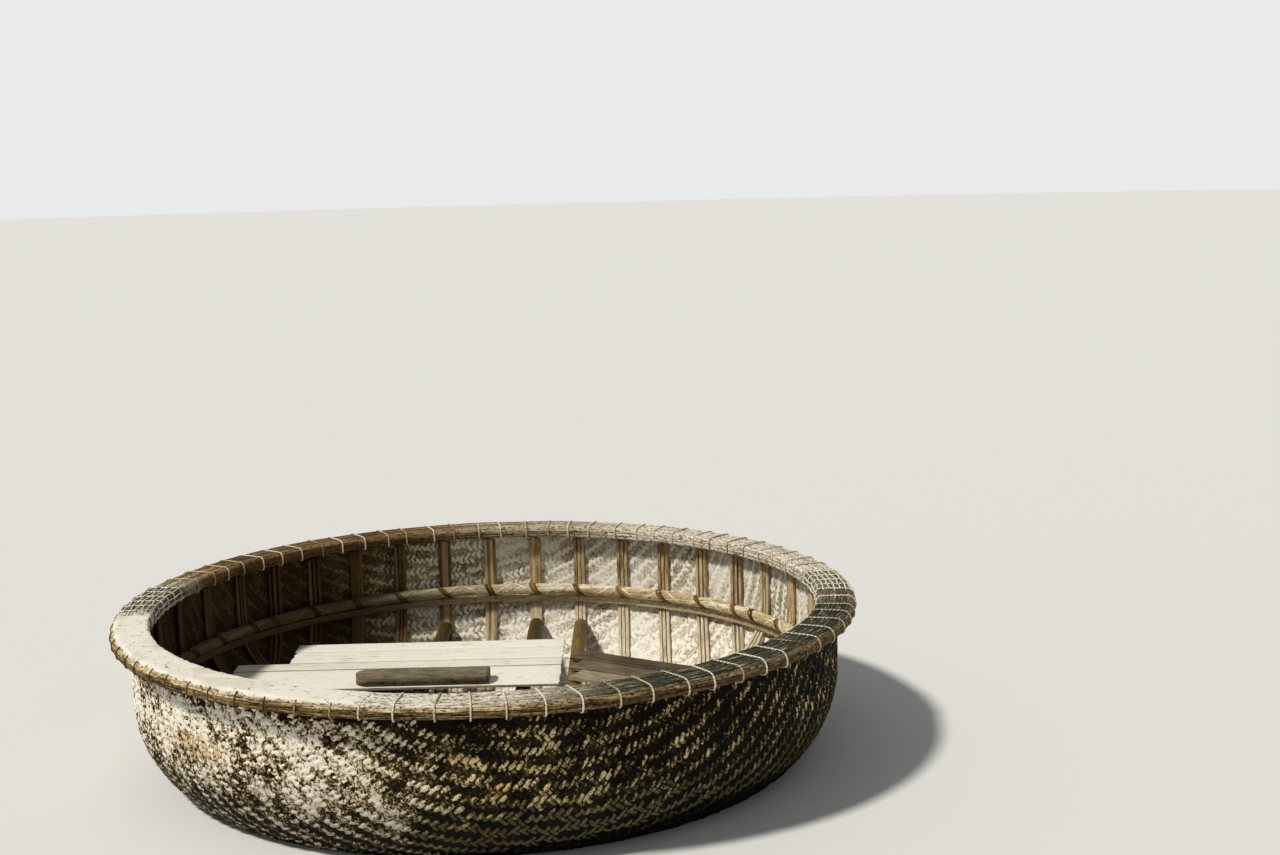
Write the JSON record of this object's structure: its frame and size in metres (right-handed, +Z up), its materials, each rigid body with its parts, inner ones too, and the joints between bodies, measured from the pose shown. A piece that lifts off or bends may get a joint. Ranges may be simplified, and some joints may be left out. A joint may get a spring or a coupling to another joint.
{
  "type": "round basket boat",
  "caption": "Round woven-bamboo basket boat with a lashed rim, crossing split-bamboo ribs, an inner hoop and loose floor boards.",
  "frame": {"origin": "on the boat's upright axis, at the waterline", "axes": "+Z up along the axis of the round bowl, +X along the floor boards towards the oblique planks, +Y across the boards, away from the near set"},
  "size_m": [2.1106, 2.109, 0.5833],
  "materials": {
    "woven_wall": "coated bamboo weave, sun-bleached, matt",
    "rim_bamboo": "weathered split bamboo, matt",
    "cord": "twisted cord, matt",
    "rib_bamboo": "split bamboo, satin",
    "hoop_bamboo": "bamboo bundle, satin",
    "pole_bamboo": "round bamboo, satin",
    "board_wood": "bleached board, matt",
    "grey_plank": "weathered grey board, matt",
    "driftwood": "weathered grey wood, matt"
  },
  "bodies": {
    "root": {"cap_splint_1": "rim_bamboo", "cap_splint_2": "rim_bamboo", "cap_splint_3": "rim_bamboo", "cap_splint_4": "rim_bamboo", "cap_splint_5": "rim_bamboo", "far_board_1": "board_wood", "far_board_2": "board_wood", "far_board_3": "board_wood", "floor_pole_1": "pole_bamboo", "floor_pole_2": "pole_bamboo", "floor_pole_3": "pole_bamboo", "floor_pole_4": "pole_bamboo", "floor_pole_5": "pole_bamboo", "hull_basket": "woven_wall", "inner_hoop_lower": "rim_bamboo", "inner_hoop_upper": "rim_bamboo", "joint_lashings_left": "cord", "joint_lashings_right": "cord", "lower_ribs": "rib_bamboo", "mid_hoop": "hoop_bamboo", "mid_hoop_strip": "hoop_bamboo", "near_board_1": "board_wood", "near_board_2": "board_wood", "near_board_3": "board_wood", "outer_hoop_lower": "rim_bamboo", "outer_hoop_upper": "rim_bamboo", "rim_lashings": "cord", "seat_block": "driftwood", "side_plank_1": "grey_plank", "side_plank_2": "grey_plank", "side_plank_3": "grey_plank", "upper_ribs": "rib_bamboo"}
  },
  "joints": []
}
